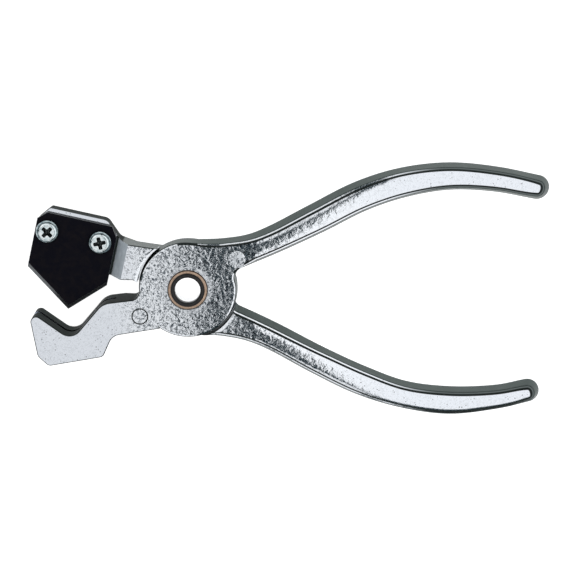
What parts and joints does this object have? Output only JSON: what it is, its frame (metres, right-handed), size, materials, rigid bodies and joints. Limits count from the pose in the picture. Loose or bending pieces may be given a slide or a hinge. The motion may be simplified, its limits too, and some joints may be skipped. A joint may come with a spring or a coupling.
{
  "type": "plier-type cutter with a replaceable pointed blade and a V anvil",
  "caption": "Plier-type hand cutter: a pointed black blade, screwed to one cast lever, closes into a slotted V anvil on the other about a hollow rivet pivot.",
  "frame": {"origin": "middle of the footprint, on the plane of the jaws' back faces", "axes": "+X from the jaws to the handle tips, +Y towards the blade jaw and the upper handle, +Z along the pivot axis towards the front face"},
  "size_m": [0.2008, 0.0996, 0.0167],
  "materials": {
    "plated_casting": "bright nickel plating over a die-cast skin",
    "blackened_steel": "black oxide, oiled",
    "zinc_screw": "clear zinc plating",
    "bronze": "turned bronze",
    "spring_steel": "drawn wire"
  },
  "bodies": {
    "anvil_side": {"anvil_lever": "plated_casting", "pivot_bushing": "bronze", "rivet_washer": "bronze", "pivot_rivet": "blackened_steel", "return_spring": "spring_steel"},
    "blade_side": {"blade_lever": "plated_casting", "blade": "blackened_steel", "blade_screw_outer": "zinc_screw", "blade_screw_inner": "zinc_screw"}
  },
  "joints": [
    {"name": "pivot", "type": "hinge", "parent": "anvil_side", "child": "blade_side", "pos_m": [-0.038, 0.0009, 0.0107], "axis": [0, 0, 1], "range_deg": [0, 15], "stiffness_Nm_per_rad": 1.2, "springref_deg": -17.19}
  ]
}
